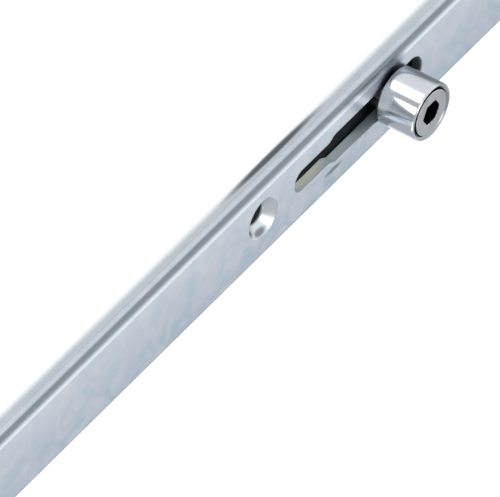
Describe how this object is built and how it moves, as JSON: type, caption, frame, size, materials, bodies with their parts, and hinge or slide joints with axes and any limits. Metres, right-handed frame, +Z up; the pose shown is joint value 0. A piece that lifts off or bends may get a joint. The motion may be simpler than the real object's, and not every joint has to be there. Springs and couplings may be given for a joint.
{
  "type": "multipoint door lock",
  "caption": "Long flat faceplate with a geared lock case, latch, deadbolt, sliding drive rail and adjustable roller cams that stand out of slots.",
  "frame": {"origin": "faceplate's front face, on its centre line, level with the handle spindle", "axes": "+Z up along the faceplate, +Y into the door edge, +X across the door's thickness"},
  "size_m": [0.02, 0.0755, 0.92],
  "materials": {
    "zinc_plate": "bright zinc plated strip",
    "zinc_case": "zinc plated pressed sheet",
    "zinc_rail": "zinc plated bar",
    "turned_steel": "turned and zinc plated",
    "spring_steel": "drawn spring wire",
    "nickel_bolt": "satin nickel plated",
    "cast_zinc": "pressure cast zinc alloy",
    "polished_stud": "turned, zinc plated",
    "polished_roller": "polished steel sleeve"
  },
  "bodies": {
    "frame": {"faceplate": "zinc_plate", "guide_studs": "zinc_plate", "case_body": "zinc_case", "case_cover": "zinc_case", "case_posts": "turned_steel", "case_bushes": "turned_steel", "case_screws": "turned_steel", "wheel_pin": "turned_steel", "bolt_guide_pin": "turned_steel", "spring_stop": "zinc_case", "latch_spring": "spring_steel", "follower_spring": "spring_steel"},
    "drive_rail": {"drive_slide": "zinc_rail", "rail_rack": "zinc_rail", "lower_rail": "zinc_rail", "upper_rail": "zinc_rail", "lower_splice": "zinc_rail", "upper_splice": "zinc_rail", "splice_rivets": "turned_steel"},
    "deadbolt": {"deadbolt": "nickel_bolt"},
    "transfer_wheel": {"transfer_wheel": "cast_zinc"},
    "handle_follower": {"handle_follower": "cast_zinc"},
    "latch": {"latch_bolt": "nickel_bolt"},
    "lower_cam_stud": {"lower_cam_stud": "polished_stud"},
    "lower_roller": {"lower_roller": "polished_roller"},
    "upper_cam_stud": {"upper_cam_stud": "polished_stud"},
    "upper_roller": {"upper_roller": "polished_roller"}
  },
  "joints": [
    {"name": "rail_slide", "type": "slide", "parent": "frame", "child": "drive_rail", "axis": [0, 0, 1], "range_m": [0, 0.015]},
    {"name": "deadbolt_slide", "type": "slide", "parent": "frame", "child": "deadbolt", "axis": [0, -1, 0], "range_m": [0, 0.018]},
    {"name": "wheel_turn", "type": "hinge", "parent": "frame", "child": "transfer_wheel", "pos_m": [0, 0.031, -0.038], "axis": [-1, 0, 0], "range_deg": [0, 57.3]},
    {"name": "handle_turn", "type": "hinge", "parent": "frame", "child": "handle_follower", "pos_m": [0, 0.045, 0], "axis": [-1, 0, 0], "range_deg": [0, 30], "stiffness_Nm_per_rad": 1.2, "springref_deg": -17.19, "deforming": ["follower_spring"]},
    {"name": "latch_slide", "type": "slide", "parent": "frame", "child": "latch", "axis": [0, 1, 0], "range_m": [0, 0.012], "stiffness_N_per_m": 400, "springref_m": -0.01, "deforming": ["latch_spring"]},
    {"name": "lower_cam_adjust", "type": "hinge", "parent": "drive_rail", "child": "lower_cam_stud", "pos_m": [0, 0, -0.3603], "axis": [0, 1, 0], "range_deg": [-90, 90]},
    {"name": "lower_roller_spin", "type": "hinge", "parent": "lower_cam_stud", "child": "lower_roller", "pos_m": [-0.00024, 0, -0.36101], "axis": [0, 1, 0], "continuous": true},
    {"name": "upper_cam_adjust", "type": "hinge", "parent": "drive_rail", "child": "upper_cam_stud", "pos_m": [0, 0, 0.4], "axis": [0, 1, 0], "range_deg": [-90, 90]},
    {"name": "upper_roller_spin", "type": "hinge", "parent": "upper_cam_stud", "child": "upper_roller", "pos_m": [-0.00024, 0, 0.39929], "axis": [0, 1, 0], "continuous": true}
  ],
  "couplings": [
    {"joint": "deadbolt_slide", "follows": "rail_slide", "ratio": 1.2},
    {"joint": "wheel_turn", "follows": "rail_slide", "rad_per_m": 66.667},
    {"joint": "handle_turn", "follows": "latch_slide", "rad_per_m": 43.633}
  ]
}
